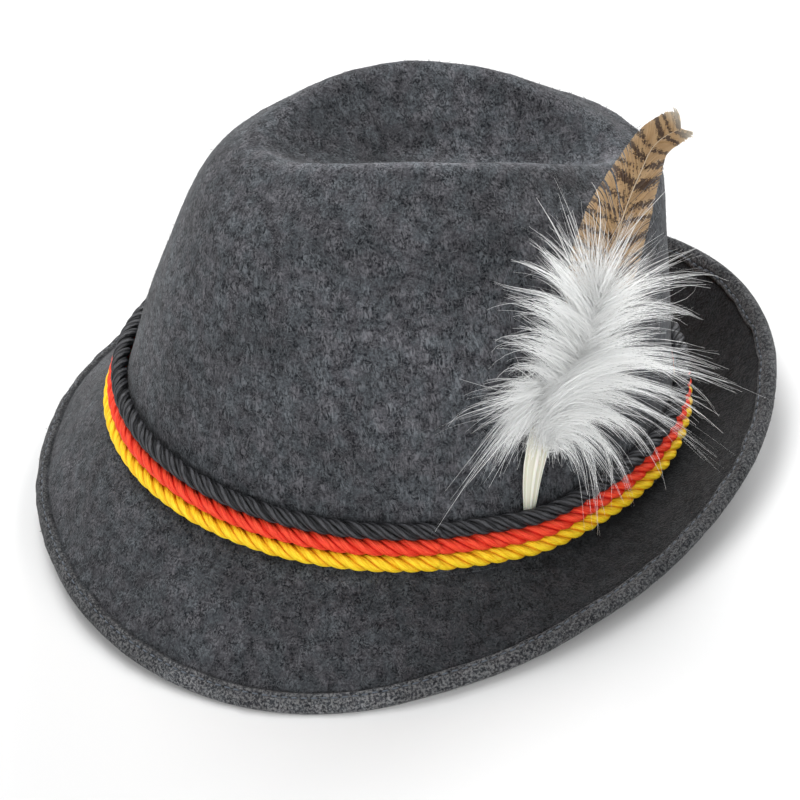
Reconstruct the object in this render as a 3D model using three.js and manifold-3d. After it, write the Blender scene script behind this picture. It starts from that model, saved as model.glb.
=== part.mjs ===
// Tyrolean hat: a felt body with a centre dent and a hemmed brim, three twisted cords
// around the crown, and a feather trim tucked behind the cords on the wearer's left.
// Millimetres, +Z up. The hat faces -Y, and it rests on its brim on the plane z = 0.
import * as THREE from "three";
import { mergeVertices } from "three/addons/utils/BufferGeometryUtils.js";
import Module from "manifold-3d";

// Head opening and felt
const headLength = 198;
const headWidth = 166;
const feltWall = 2.5;
const crownHeight = 120;

// Brim, measured level from the foot of the crown to the edge, and up or down
const brimFront = 32.5;
const brimSide = 42.5;
const brimBack = 33;
const frontDrop = 39;
const sideDrop = 20;
const backRise = 24;
const hemWidth = 7;
const hemThickness = 1.8;
const hemSlope = 0.8;
const edgeRound = 1;
const restPress = 1.1;

// The band line is this much lower at the sides
const bandDip = 3.8;

// Cords around the crown
const cordDiameter = 6;
const clearance = 0.3;
const cordSides = 8;

// Feather trim: where it leaves the cords, and its pieces
const featherLength = 153;
const stemAngle = 0.35;
const stemHeight = 10.5;
const stemThickness = 1.6;
const stemWidth = 9;
const vaneThickness = 0.9;
const vaneWidth = 22;
const plumeWidth = 30;
const plumeThickness = 7;
const lockWidth = 12;
const lockFlatness = 0.45;
const lockTaper = 0.92;
const lockFade = 1.5;
const swellReach = 15;

// Facets around the hat
const facets = 64;

const halfLength = headLength / 2 + feltWall;
const halfWidth = headWidth / 2 + feltWall;

// Crown levels from the middle of the dent out to the foot. front, back and shift are
// shares of halfLength, side of halfWidth, the rises of crownHeight and dip of bandDip.
// A corner below 1 squares the oval and one above 1 points it. steps leads to the next level.
const crownLevels = [
  {
    front: 0, back: 0, side: 0, shift: 0.09, corner: 1, steps: 1,
    riseFront: 0.82, riseSide: 0.82, riseBack: 0.82, dip: 0,
  },
  {
    front: 0.24, back: 0.24, side: 0.1, shift: 0.09, corner: 1, steps: 2,
    riseFront: 0.84, riseSide: 0.83, riseBack: 0.795, dip: 0,
  },
  {
    front: 0.46, back: 0.48, side: 0.24, shift: 0.09, corner: 1.04, steps: 2,
    riseFront: 0.88, riseSide: 0.925, riseBack: 0.8, dip: 0,
  },
  {
    front: 0.585, back: 0.625, side: 0.363, shift: 0.087, corner: 1.1, steps: 2,
    riseFront: 0.915, riseSide: 1, riseBack: 0.84, dip: 0,
  },
  {
    front: 0.668, back: 0.73, side: 0.47, shift: 0.07, corner: 1.04, steps: 2,
    riseFront: 0.875, riseSide: 0.945, riseBack: 0.832, dip: 0,
  },
  {
    front: 0.767, back: 0.812, side: 0.649, shift: 0.05, corner: 0.94, steps: 3,
    riseFront: 0.747, riseSide: 0.802, riseBack: 0.778, dip: 0,
  },
  {
    front: 0.893, back: 0.921, side: 0.88, shift: 0.0125, corner: 1, steps: 3,
    riseFront: 0.376, riseSide: 0.392, riseBack: 0.372, dip: 0,
  },
  {
    front: 1, back: 1, side: 1, shift: 0, corner: 1, steps: 1,
    riseFront: 0.022, riseSide: 0.022, riseBack: 0.022, dip: 1,
  },
];

// Brim levels from the fold at the crown's foot to the edge. reach is a share of the
// brim's width, shift of halfLength, front of frontDrop, side of sideDrop and back of backRise.
const brimLevels = [
  { reach: 0.055, shift: 0, front: 0.02, side: 0.04, back: -0.06, steps: 1 },
  { reach: 0.16, shift: -0.01, front: 0.08, side: 0.16, back: -0.13, steps: 2 },
  { reach: 0.4, shift: -0.05, front: 0.31, side: 0.4, back: 0.05, steps: 2 },
  { reach: 0.7, shift: -0.11, front: 0.65, side: 0.71, back: 0.46, steps: 2 },
  { reach: 1, shift: -0.157, front: 1, side: 1, back: 1, steps: 2 },
];

// The cords from the brim up. swell is how far each is pushed out by the feather's stem.
const cords = [
  { name: "cord_gold", colour: 0xf2cf3c, swell: 0.6 },
  { name: "cord_red", colour: 0xe6462d, swell: 1 },
  { name: "cord_black", colour: 0x1d1d21, swell: 1 },
];

// The feather's spine from behind the cords to its tip, in shares of featherLength: towards
// the back, up the crown, and out from the felt.
const spineRows = [
  { back: -0.013, up: -0.054, out: 0 },
  { back: -0.005, up: 0.007, out: 0 },
  { back: 0.004, up: 0.106, out: 0.006 },
  { back: 0.022, up: 0.205, out: 0.012 },
  { back: 0.05, up: 0.294, out: 0.014 },
  { back: 0.1, up: 0.387, out: 0.012 },
  { back: 0.155, up: 0.51, out: 0.008 },
  { back: 0.185, up: 0.605, out: 0.004 },
  { back: 0.215, up: 0.69, out: 0.001 },
  { back: 0.25, up: 0.759, out: -0.002 },
  { back: 0.285, up: 0.815, out: -0.004 },
  { back: 0.355, up: 0.862, out: -0.006 },
];

// Rows along the spine: at is the share of it, width a share of the piece's full width, lean
// moves the row sideways by a share of that width, and thick is a share of the thickness.
const stemRows = [
  { at: 0.01, width: 0.3, lean: 0, thick: 0.6 },
  { at: 0.1, width: 0.42, lean: 0, thick: 0.8 },
  { at: 0.18, width: 0.8, lean: 0, thick: 1 },
  { at: 0.26, width: 1, lean: 0, thick: 1 },
  { at: 0.34, width: 0.8, lean: 0, thick: 1 },
  { at: 0.4, width: 0.3, lean: 0, thick: 0.8 },
];
const vaneRows = [
  { at: 0.42, width: 0.2, lean: 0, thick: 1 },
  { at: 0.48, width: 0.62, lean: 0, thick: 1 },
  { at: 0.57, width: 0.94, lean: 0.02, thick: 1 },
  { at: 0.67, width: 1, lean: 0.1, thick: 1 },
  { at: 0.76, width: 0.86, lean: 0.12, thick: 1 },
  { at: 0.84, width: 0.58, lean: 0.1, thick: 1 },
  { at: 0.9, width: 0.42, lean: 0.06, thick: 1 },
  { at: 0.96, width: 0.34, lean: 0, thick: 0.9 },
  { at: 0.995, width: 0.2, lean: 0, thick: 0.7 },
];
const coreRows = [
  { at: 0.24, width: 0.2, lean: 0, thick: 0.3 },
  { at: 0.3, width: 0.62, lean: 0, thick: 0.75 },
  { at: 0.38, width: 0.9, lean: -0.05, thick: 1 },
  { at: 0.47, width: 1, lean: -0.05, thick: 1 },
  { at: 0.55, width: 0.8, lean: 0, thick: 0.9 },
  { at: 0.62, width: 0.5, lean: 0, thick: 0.6 },
  { at: 0.68, width: 0.16, lean: 0, thick: 0.3 },
];

// Locks of down: at is the share of the spine they leave, turn their degrees from it, less
// than 0 to the front, length a share of featherLength, bend the degrees they curl by, and
// rise how far they lift off the felt as a share of their length.
const locks = [
  { at: 0.56, turn: -14, length: 0.27, bend: -10, rise: 0.02 },
  { at: 0.53, turn: -42, length: 0.26, bend: -12, rise: 0.05 },
  { at: 0.49, turn: -66, length: 0.24, bend: -6, rise: 0.1 },
  { at: 0.45, turn: -88, length: 0.23, bend: 6, rise: 0.12 },
  { at: 0.41, turn: -112, length: 0.25, bend: -10, rise: 0.1 },
  { at: 0.36, turn: -132, length: 0.28, bend: -16, rise: 0.08 },
  { at: 0.33, turn: -150, length: 0.27, bend: -10, rise: 0.1 },
  { at: 0.57, turn: 12, length: 0.24, bend: 10, rise: 0.02 },
  { at: 0.54, turn: 34, length: 0.27, bend: 12, rise: 0.04 },
  { at: 0.51, turn: 56, length: 0.28, bend: 14, rise: 0.04 },
  { at: 0.47, turn: 78, length: 0.29, bend: 16, rise: 0.04 },
  { at: 0.43, turn: 98, length: 0.3, bend: 20, rise: 0.05 },
  { at: 0.38, turn: 118, length: 0.3, bend: 24, rise: 0.08 },
  { at: 0.34, turn: 138, length: 0.27, bend: 20, rise: 0.14 },
];

function signedPower(value, power) {
  return Math.sign(value) * Math.abs(value) ** power;
}

function crownLevel(row) {
  return {
    front: row.front * halfLength,
    back: row.back * halfLength,
    side: row.side * halfWidth,
    middle: row.shift * halfLength,
    zFront: row.riseFront * crownHeight,
    zSide: row.riseSide * crownHeight - row.dip * bandDip,
    zBack: row.riseBack * crownHeight,
    corner: row.corner,
    steps: row.steps,
  };
}

function brimLevel(row) {
  const middle = row.shift * halfLength;
  return {
    front: halfLength + row.reach * brimFront + middle,
    back: halfLength + row.reach * brimBack - middle,
    side: halfWidth + row.reach * brimSide,
    middle,
    zFront: -row.front * frontDrop,
    zSide: -bandDip - row.side * sideDrop,
    zBack: row.back * backRise,
    corner: 1,
    steps: row.steps,
  };
}

const levels = [...crownLevels.map(crownLevel), ...brimLevels.map(brimLevel)];

// Shares of the line from the dent to the edge: the brim's fold, the crown's foot, and the
// level above it.
const lastLevel = levels.length - 1;
const foldShare = crownLevels.length / lastLevel;
const footShare = (crownLevels.length - 1) / lastLevel;
const wallShare = (crownLevels.length - 2) / lastLevel;

// The point of one level at an angle: 0 is the wearer's left, a quarter turn is the back.
function levelPoint(level, angle) {
  const across = signedPower(Math.cos(angle), level.corner);
  const along = signedPower(Math.sin(angle), level.corner);
  const reach = along < 0 ? level.front : level.back;
  const mean = (level.zFront + level.zBack) / 2;
  const slope = (level.zBack - level.zFront) / 2;
  return new THREE.Vector3(
    level.side * across,
    level.middle + reach * along,
    level.zSide + slope * along + (mean - level.zSide) * along * along,
  );
}

// A smooth line over the hat at one angle, from the middle of the dent to the brim's edge.
function hatLine(angle) {
  const knots = levels.map((level) => levelPoint(level, angle));
  return new THREE.CatmullRomCurve3(knots, false, "catmullrom", 0.5);
}

function angleAt(step) {
  return (2 * Math.PI * step) / facets;
}

// A place on the felt's top side before its hem: the point, its normal and the way to the edge.
function feltPlace(angle, share) {
  const nudge = 0.01;
  const line = hatLine(angle);
  const point = line.getPoint(share);
  const outward = line.getTangent(share);
  const around = hatLine(angle + nudge).getPoint(share).sub(hatLine(angle - nudge).getPoint(share));
  const normal = outward.clone().cross(around).normalize();
  return { point, outward, normal: share === 0 ? new THREE.Vector3(0, 0, 1) : normal };
}

function raised(place, height, onward = 0) {
  const raise = place.normal.clone().multiplyScalar(height);
  return place.point.clone().add(raise).addScaledVector(place.outward, onward);
}

// Joins rings of equal count, each next one around or below the last, into one closed body.
// A ring of one point is a tip. Where loop is true the last ring leads back to the first.
function skin(rings, loop = false) {
  const positions = [];
  const starts = rings.map((ring) => {
    const start = positions.length / 3;
    ring.forEach((point) => positions.push(point.x, point.y, point.z));
    return start;
  });
  const index = [];
  const joins = loop ? rings.length : rings.length - 1;
  for (let i = 0; i < joins; i++) {
    const next = (i + 1) % rings.length;
    const count = Math.max(rings[i].length, rings[next].length);
    for (let j = 0; j < count; j++) {
      const a = starts[i] + (j % rings[i].length);
      const b = starts[i] + ((j + 1) % rings[i].length);
      const c = starts[next] + (j % rings[next].length);
      const d = starts[next] + ((j + 1) % rings[next].length);
      if (c !== d) index.push(a, c, d);
      if (a !== b) index.push(a, d, b);
    }
  }
  const geometry = new THREE.BufferGeometry();
  geometry.setAttribute("position", new THREE.Float32BufferAttribute(positions, 3));
  geometry.setIndex(index);
  return mergeVertices(geometry);
}

// The felt is a sheet from the dent to the brim's edge, with the hem folded onto its top side.
function feltGeometry() {
  const shares = [];
  for (let k = 0; k < lastLevel; k++) {
    for (let step = 0; step < levels[k].steps; step++) {
      shares.push((k + step / levels[k].steps) / lastLevel);
    }
  }
  const hemStart = (angle) => {
    const edge = feltPlace(angle, 1).point;
    const inner = feltPlace(angle, 1 - 1 / lastLevel).point;
    return 1 - hemWidth / edge.distanceTo(inner) / lastLevel;
  };
  const ringAt = (shareOf, height, onward = 0) => {
    const ring = [];
    for (let step = 0; step < facets; step++) {
      const angle = angleAt(step);
      ring.push(raised(feltPlace(angle, shareOf(angle)), height, onward));
    }
    return ring;
  };
  const tip = (height) => [raised(feltPlace(0, 0), height)];
  const plain = shares.slice(1, -1);
  const top = plain.map((share) => ringAt(() => share, 0));
  const hem = [
    ringAt(hemStart, 0, -hemSlope),
    ringAt(hemStart, hemThickness),
    ringAt(() => 1, hemThickness, -edgeRound),
    ringAt(() => 1, hemThickness / 2 - feltWall / 2),
    ringAt(() => 1, -feltWall, -edgeRound),
    ringAt(hemStart, -feltWall),
  ];
  const under = plain.map((share) => ringAt(() => share, -feltWall)).reverse();
  return skin([tip(0), ...top, ...hem, ...under, tip(-feltWall)]);
}

// How high the band line lies at an angle.
function bandLine(angle) {
  return -bandDip * Math.cos(angle) ** 2;
}

// The value between low and high where a rising measure reaches zero.
function solve(measure, low, high) {
  const halvings = 40;
  for (let k = 0; k < halvings; k++) {
    const middle = (low + high) / 2;
    if (measure(middle) < 0) low = middle;
    else high = middle;
  }
  return (low + high) / 2;
}

// How far the stem of the feather pushes the cords out at an angle.
function stemSwell(angle) {
  const away = ((angle - stemAngle) * (halfLength + halfWidth)) / 2;
  return (stemThickness + 2 * clearance) * Math.exp(-((away / swellReach) ** 2));
}

// Where the middles of the cords lie at one angle, from the brim up, and the wall's normal there.
function cordSpots(angle) {
  const spots = [];
  let below = null;
  let lowest = 1 - foldShare;
  for (const cord of cords) {
    const offset = cordDiameter / 2 + clearance + cord.swell * stemSwell(angle);
    const gap = (height) => {
      const middle = raised(feltPlace(angle, 1 - height), offset);
      if (below) return middle.distanceTo(below) - cordDiameter - clearance;
      return middle.z - bandLine(angle) - cordDiameter / 2 - clearance;
    };
    lowest = solve(gap, lowest, 1 - wallShare);
    const place = feltPlace(angle, 1 - lowest);
    below = raised(place, offset);
    spots.push({ cord, middle: below, normal: place.normal, down: place.outward });
  }
  return spots;
}

function cordGeometry(spots) {
  const rings = spots.map(({ middle, normal, down }) => {
    const ring = [];
    for (let side = 0; side < cordSides; side++) {
      const turn = (-2 * Math.PI * side) / cordSides;
      const out = normal.clone().multiplyScalar((Math.cos(turn) * cordDiameter) / 2);
      ring.push(middle.clone().add(out).addScaledVector(down, (Math.sin(turn) * cordDiameter) / 2));
    }
    return ring;
  });
  return skin(rings, true);
}

// The frame on the felt where the feather leaves the cords: out, up the crown, to the back.
function featherFrame() {
  const above = (turned) => feltPlace(stemAngle, 1 - turned).point.z - stemHeight;
  const place = feltPlace(stemAngle, 1 - solve(above, 1 - footShare, 1 - wallShare));
  const out = place.normal;
  const up = new THREE.Vector3(0, 0, 1).addScaledVector(out, -out.z).normalize();
  const back = up.clone().cross(out);
  return { base: place.point, out, up, back };
}

const feather = featherFrame();

function featherPoint(back, up, out) {
  return feather.base
    .clone()
    .addScaledVector(feather.back, back)
    .addScaledVector(feather.up, up)
    .addScaledVector(feather.out, out);
}

const spine = new THREE.CatmullRomCurve3(
  spineRows.map((row) =>
    featherPoint(
      row.back * featherLength,
      row.up * featherLength,
      row.out * featherLength + stemThickness / 2 + clearance,
    ),
  ),
  false,
  "catmullrom",
  0.5,
);

// The spine's point at a share of its length, with the way on, sideways to the back, and out.
function spinePlace(share) {
  const point = spine.getPointAt(share);
  const onward = spine.getTangentAt(share);
  const out = feather.out.clone().addScaledVector(onward, -feather.out.dot(onward)).normalize();
  const side = onward.clone().cross(out);
  return { point, onward, out, side };
}

// A lens-shaped blade along the spine, its middle plane standing off the spine by a height.
function blade(rows, width, thickness, height) {
  const sides = 8;
  const rings = rows.map((row) => {
    const { point, out, side } = spinePlace(row.at);
    const middle = point.addScaledVector(side, row.lean * width).addScaledVector(out, height);
    return Array.from({ length: sides }, (_, corner) => {
      const turn = (2 * Math.PI * corner) / sides;
      return middle
        .clone()
        .addScaledVector(side, (Math.cos(turn) * row.width * width) / 2)
        .addScaledVector(out, (Math.sin(turn) * row.thick * thickness) / 2);
    });
  });
  const ends = (ring) => {
    const middle = new THREE.Vector3();
    ring.forEach((point) => middle.addScaledVector(point, 1 / ring.length));
    return [middle];
  };
  return skin([ends(rings[0]), ...rings, ends(rings[rings.length - 1])]);
}

// One tapered lock of down that curls away from the plume's core.
function lockGeometry(lock, height) {
  const sides = 6;
  const steps = 5;
  const { point, onward, out, side } = spinePlace(lock.at);
  const step = (lock.length * featherLength) / steps;
  const middle = point.clone().addScaledVector(out, height);
  const rings = [[middle.clone()]];
  for (let k = 0; k <= steps; k++) {
    const share = k / steps;
    const turn = THREE.MathUtils.degToRad(lock.turn + lock.bend * share);
    const way = onward.clone().multiplyScalar(Math.cos(turn)).addScaledVector(side, Math.sin(turn));
    const across = onward.clone().multiplyScalar(-Math.sin(turn)).addScaledVector(side, Math.cos(turn));
    const wide = (lockWidth / 2) * (1 - lockTaper * share ** lockFade);
    rings.push(
      Array.from({ length: sides }, (_, corner) => {
        const round = (2 * Math.PI * corner) / sides;
        return middle
          .clone()
          .addScaledVector(across, Math.cos(round) * wide)
          .addScaledVector(out, Math.sin(round) * wide * lockFlatness);
      }),
    );
    middle.addScaledVector(way, step).addScaledVector(out, lock.rise * step);
  }
  rings.push([middle.clone()]);
  return skin(rings);
}

function solid(wasm, geometry) {
  const vertProperties = geometry.getAttribute("position").array;
  const triVerts = new Uint32Array(geometry.index.array);
  return new wasm.Manifold(new wasm.Mesh({ numProp: 3, vertProperties, triVerts }));
}

// The down is its core and its locks in one body.
async function plumeGeometry() {
  const wasm = await Module();
  wasm.setup();
  const height = stemThickness / 2 + clearance + plumeThickness / 2;
  const core = solid(wasm, blade(coreRows, plumeWidth, plumeThickness, height));
  const grown = locks.map((lock) => solid(wasm, lockGeometry(lock, height)));
  const joined = wasm.Manifold.union([core, ...grown]).getMesh();
  const geometry = new THREE.BufferGeometry();
  const positions = new THREE.BufferAttribute(joined.vertProperties, joined.numProp);
  geometry.setAttribute("position", positions);
  geometry.setIndex(new THREE.BufferAttribute(joined.triVerts, 1));
  return geometry;
}

function material(colour, roughness) {
  return new THREE.MeshStandardMaterial({ color: colour, roughness, metalness: 0 });
}

function named(name, geometry, look) {
  const mesh = new THREE.Mesh(geometry, look);
  mesh.name = name;
  return mesh;
}

// The pitch at which the hat rests on its brim and on the fold behind the crown.
function restPitch(geometry) {
  const position = geometry.getAttribute("position");
  const lowest = (pitch, back) => {
    const heights = [];
    for (let i = 0; i < position.count; i++) {
      const y = position.getY(i);
      const isBack = y > 0;
      if (isBack === back) heights.push(position.getZ(i) * Math.cos(pitch) - y * Math.sin(pitch));
    }
    return Math.min(...heights);
  };
  return solve((pitch) => lowest(pitch, false) - lowest(pitch, true), 0, Math.PI / 6);
}

const felt = named("felt_body", feltGeometry(), material(0x4f5155, 0.95));
const around = Array.from({ length: facets }, (_, step) => cordSpots(angleAt(step)));
const cordMeshes = cords.map((cord, row) => {
  const spots = around.map((spot) => spot[row]);
  return named(cord.name, cordGeometry(spots), material(cord.colour, 0.6));
});

const stem = named(
  "feather_stem",
  blade(stemRows, stemWidth, stemThickness, 0),
  material(0xe9e6da, 0.5),
);
const vane = named(
  "pheasant_feather",
  blade(vaneRows, vaneWidth, vaneThickness, 0),
  material(0xa98660, 0.7),
);
const plume = named("down_plume", await plumeGeometry(), material(0xe6e6e6, 0.9));

// The hat is tipped back until it rests, stood on the plane z = 0 with its brim centred, and
// pressed flat where it lies.
const pieces = [felt, ...cordMeshes, stem, vane, plume];
const tip = new THREE.Matrix4().makeRotationX(-restPitch(felt.geometry));
pieces.forEach((piece) => piece.geometry.applyMatrix4(tip));
felt.geometry.computeBoundingBox();
const lying = felt.geometry.boundingBox.clone();
const middleY = (lying.min.y + lying.max.y) / 2;
const floor = lying.min.z + restPress;
pieces.forEach((piece) => piece.geometry.translate(0, -middleY, -floor));
const feltPoints = felt.geometry.getAttribute("position");
for (let i = 0; i < feltPoints.count; i++) {
  feltPoints.setZ(i, Math.max(0, feltPoints.getZ(i)));
}

const hat = new THREE.Group();
hat.add(...pieces);

export default hat;
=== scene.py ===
import math

import bpy
import numpy as np
from mathutils import Matrix, Vector
from mathutils.bvhtree import BVHTree


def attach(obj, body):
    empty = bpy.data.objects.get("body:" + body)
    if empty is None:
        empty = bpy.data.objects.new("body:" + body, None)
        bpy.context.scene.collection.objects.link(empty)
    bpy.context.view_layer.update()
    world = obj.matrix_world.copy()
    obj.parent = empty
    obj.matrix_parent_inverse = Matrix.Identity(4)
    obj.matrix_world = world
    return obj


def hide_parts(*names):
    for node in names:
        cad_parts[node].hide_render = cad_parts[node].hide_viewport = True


# The looks of a tyrolean hat. Sizes are in millimetres, and meshes are made in metres.
MM = 0.001

# Every random draw starts from this seed
SEED = 11

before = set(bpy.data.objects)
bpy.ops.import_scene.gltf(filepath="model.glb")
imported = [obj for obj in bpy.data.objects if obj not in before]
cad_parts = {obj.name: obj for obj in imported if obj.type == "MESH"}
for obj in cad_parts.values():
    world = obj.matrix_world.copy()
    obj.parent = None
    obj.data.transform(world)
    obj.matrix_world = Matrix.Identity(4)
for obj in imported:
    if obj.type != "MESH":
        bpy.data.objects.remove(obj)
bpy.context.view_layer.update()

# Head opening, felt and brim
HEAD_LENGTH = 198
HEAD_WIDTH = 166
FELT_WALL = 2.5
CROWN_HEIGHT = 120
BRIM_FRONT = 32.5
BRIM_SIDE = 42.5
BRIM_BACK = 33
FRONT_DROP = 39
SIDE_DROP = 20
BACK_RISE = 24
BAND_DIP = 3.8
HEM_WIDTH = 7
HALF_LENGTH = HEAD_LENGTH / 2 + FELT_WALL
HALF_WIDTH = HEAD_WIDTH / 2 + FELT_WALL

# How fine the felt is: points around it, and rings between two levels on top and underneath
FELT_FACETS = 620
TOP_STEPS = 7
UNDER_STEPS = 3

# Nothing comes nearer to the floor than this, so that no face lies in the floor's own plane
FLOOR_GAP = 0.02

# Loose fibres on the felt: their lengths have a gamma distribution of this shape and scale,
# they are this share shorter on the hem, and none starts lower than this above the floor
FUZZ_COUNT = 95000
FUZZ_SHAPE = 4
FUZZ_SCALE = 0.45
FUZZ_TRIM = 0.55
FUZZ_LOWEST = 2
FUZZ_WIDTHS = (0.05, 0.13)
FUZZ_RISE = 0.04

# Stitches in the hem's groove: they lie at this share across the hem and this far above the
# felt. The rows run along one stitch, with its thickness as a share and its rise
STITCH_LENGTH = 2.3
STITCH_PITCH = 3.4
STITCH_RADIUS = 0.27
STITCH_SIDES = 6
STITCH_ACROSS = 0.27
STITCH_UP = 1.3
STITCH_COLUMNS = ("along", "thick", "rise")
STITCH_ROWS = (
    (-0.5, 0.05, -0.25),
    (-0.42, 0.7, 0.05),
    (-0.2, 1, 0.2),
    (0.2, 1, 0.2),
    (0.42, 0.7, 0.05),
    (0.5, 0.05, -0.25),
)

# Cords: flattened strands, with one turn in every lay, and painted shade in the grooves between
# them
CORD_DIAMETER = 6
CLEARANCE = 0.3
CORD_LAY = 18
CORD_STEPS = 760
STRANDS = 3
STRAND_DEPTH = 1.5
STRAND_WIDTH = 1.62
STRAND_SIDES = 18
YARN_TURNS = 0.3
YARN_PLIES = 6
GROOVE_RADIUS = 2.1
GROOVE_FADE = 0.6

# Feather trim
FEATHER_LENGTH = 153
STEM_ANGLE = 0.35
STEM_HEIGHT = 10.5
STEM_THICKNESS = 1.6
STEM_WIDTH = 9
SWELL_REACH = 15
VANE_WIDTH = 22
BARBS = 620
BARB_STEPS = 8
BARB_WIDTH = 0.32
BARB_LIFT = 1.2
BARB_SWEEP = 0.115
FAN_START = 0.86
TIP_DROOP = 4.5

# How far apart the dark bars are on the two sides of the feather's shaft
BAR_GAPS = ((-1, 4.3), (1, 6.2))

# Down: each lock splits into wisps, and strands follow the wisps. Sizes are shares of the
# lock's length, and heights are how far out from the crown a wisp's tip and a strand's root lie
WISPS = 5
WISP_SPREAD = 3.6
WISP_SWAY = 1.7
WISP_SIZES = (0.68, 1.15)
WISP_HEIGHTS = (1, 15)
ROOT_SHARES = (-0.15, 0.12)
ROOT_HEIGHTS = (1.5, 7)
STRAND_ARCHES = (0, 7)
DOWN_STEPS = 11

# How near strands of down come to the felt and cords, and to the floor, and how far off the
# felt and cords are looked for
DOWN_GAP = 0.35
DOWN_LOWEST = 0.5
DOWN_NEAR = 12

# Locks less full than this have fewer strands that reach their tips
THIN_LOCK = 0.6
THIN_FADE = 0.9

# Strands and their haze: how many, their least and most width, the least share of a wisp that
# they reach, how much rarer the longer ones are, and how loose they lie near their roots
DOWN_STRANDS = {"count": 3500, "wide": (0.14, 0.3), "reach": 0.28, "fade": 1.4, "loose": 1.8}
DOWN_HAZE = {"count": 8000, "wide": (0.05, 0.11), "reach": 0.12, "fade": 2.2, "loose": 3.2}

# How the hat rests: its pitch, and its shift to the back and up
REST_PITCH = math.radians(9.9821)
REST_SHIFT = np.array([0, 0.8487, 22.9786])

# The camera looks at this point from this side
AIM = Vector((20.277, -0.140, 36.817)) * MM
AZIMUTH = math.radians(88.564)
ELEVATION = math.radians(41.170)
ROLL = math.radians(-10.907)
DISTANCE = 748.19 * MM
LENS = 94.82
SENSOR = 36

# Round lights that aim at the hat, in metres and watts
LIGHT_SIZE = 1.2
LIGHT_AIM = Vector((0, 0, 0.05))
LIGHTS = (
    ("key", (-1.15, 0, 1.64), 31),
    ("top", (-0.1, -0.15, 2), 16),
    ("front", (1.25, -1.25, 0.94), 23),
    ("side", (1.25, 1.25, 0.94), 14),
    ("rear", (-1.25, 1.25, 0.94), 35),
)

# The surround's strength at the horizon and higher up, and where it stops fading
SKY_LOW = 0.9
SKY_HIGH = 0.14
SKY_BAND = 0.3

# The floor's disc, in metres
FLOOR_RADIUS = 1.4
FLOOR_SIDES = 96


def rgb(red, green, blue):
    return (red, green, blue, 1)


# Linear colours
FELT_DARK = rgb(0.006, 0.0065, 0.0085)
FELT_MID = rgb(0.039, 0.041, 0.046)
FELT_LIGHT = rgb(0.128, 0.133, 0.143)
FELT_WARM = rgb(1.035, 0.99, 1.0)
FELT_COOL = rgb(0.96, 1.005, 1.015)
HEM_LIGHT = rgb(0.15, 0.15, 0.15)
FUZZ_LIGHT = rgb(0.13, 0.135, 0.145)
THREAD_DARK = rgb(0.045, 0.055, 0.07)
THREAD_LIGHT = rgb(0.1, 0.12, 0.15)
QUILL_DARK = rgb(0.62, 0.60, 0.47)
QUILL_LIGHT = rgb(0.86, 0.85, 0.77)
DOWN_DARK = rgb(0.83, 0.84, 0.84)
DOWN_LIGHT = rgb(0.98, 0.98, 0.97)
BARB_DARK = rgb(0.05, 0.022, 0.01)
BARB_BROWN = rgb(0.36, 0.21, 0.09)
BARB_TAN = rgb(0.52, 0.36, 0.19)
BARB_PALE = rgb(0.78, 0.72, 0.60)
FLOOR_DARK = rgb(0.64, 0.64, 0.64)
FLOOR_LIGHT = rgb(0.66, 0.66, 0.66)
SKY_COLOUR = rgb(0.97, 0.985, 1)

# The cords from the brim up: the yarn's pale and deep colour, the deep one also being the
# painted shade in the grooves, how strong the painted highlights on its plies are, its shine,
# and how far the feather's stem pushes the cord out
CORD_COLUMNS = ("colour", "pale", "deep", "lines", "shine", "swell")
CORD_ROWS = (
    ("gold", rgb(0.98, 0.74, 0.03), rgb(0.86, 0.46, 0.004), 0.1, 0.25, 0.6),
    ("red", rgb(0.95, 0.09, 0.035), rgb(0.72, 0.022, 0.009), 0.12, 0.25, 1),
    ("black", rgb(0.055, 0.056, 0.062), rgb(0.002, 0.002, 0.003), 0.4, 0.3, 1),
)

# How much painted light and painted shade the felt gets in places, as shares of its colour
DENT_PAINTED_LIGHT = 0.45
RIDGE_PAINTED_HIGHLIGHT = 0.85
WALL_PAINTED_LIGHT = 0.3
BRIM_PAINTED_SHADE = 0.12
TURNED_UP_PAINTED_SHADE = 0.68
HEM_PAINTED_SHADE = 0.75
HEM_PAINTED_LIGHT = 0.7

# Patterns in the felt, with their sizes in millimetres
MOTTLE_SIZE = 26
TINT_SIZE = 7
PATCH_SIZE = 4.5
CLUMP_SIZE = 3.6
HEM_GRAIN_SIZE = 0.9
FIBRE_SIZE = 0.85
GRAIN_SIZE = 0.8
FIBRE_STRETCH = 6
FIBRE_TURNS = ((20, 10, 0), (-28, 18, 40), (70, 0, 15), (50, -35, 70))
CURL_SIZE = 1 / 0.22
CURL_REACH = 2.2

# Crown levels from the middle of the dent to the foot, in shares of the sizes above
CROWN_COLUMNS = (
    "front", "back", "side", "shift", "corner", "rise_front", "rise_side", "rise_back", "dip",
)
CROWN_ROWS = (
    (0, 0, 0, 0.09, 1, 0.82, 0.82, 0.82, 0),
    (0.24, 0.24, 0.1, 0.09, 1, 0.84, 0.83, 0.795, 0),
    (0.46, 0.48, 0.24, 0.09, 1.04, 0.88, 0.925, 0.8, 0),
    (0.585, 0.625, 0.363, 0.087, 1.1, 0.915, 1, 0.84, 0),
    (0.668, 0.73, 0.47, 0.07, 1.04, 0.875, 0.945, 0.832, 0),
    (0.767, 0.812, 0.649, 0.05, 0.94, 0.747, 0.802, 0.778, 0),
    (0.893, 0.921, 0.88, 0.0125, 1, 0.376, 0.392, 0.372, 0),
    (1, 1, 1, 0, 1, 0.022, 0.022, 0.022, 1),
)

# Brim levels from the fold to the edge, in shares of the brim's widths, drops and rise
BRIM_COLUMNS = ("reach", "shift", "front", "side", "back")
BRIM_ROWS = (
    (0.055, 0, 0.02, 0.04, -0.06),
    (0.16, -0.01, 0.08, 0.16, -0.13),
    (0.4, -0.05, 0.31, 0.4, 0.05),
    (0.7, -0.11, 0.65, 0.71, 0.46),
    (1, -0.157, 1, 1, 1),
)
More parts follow.
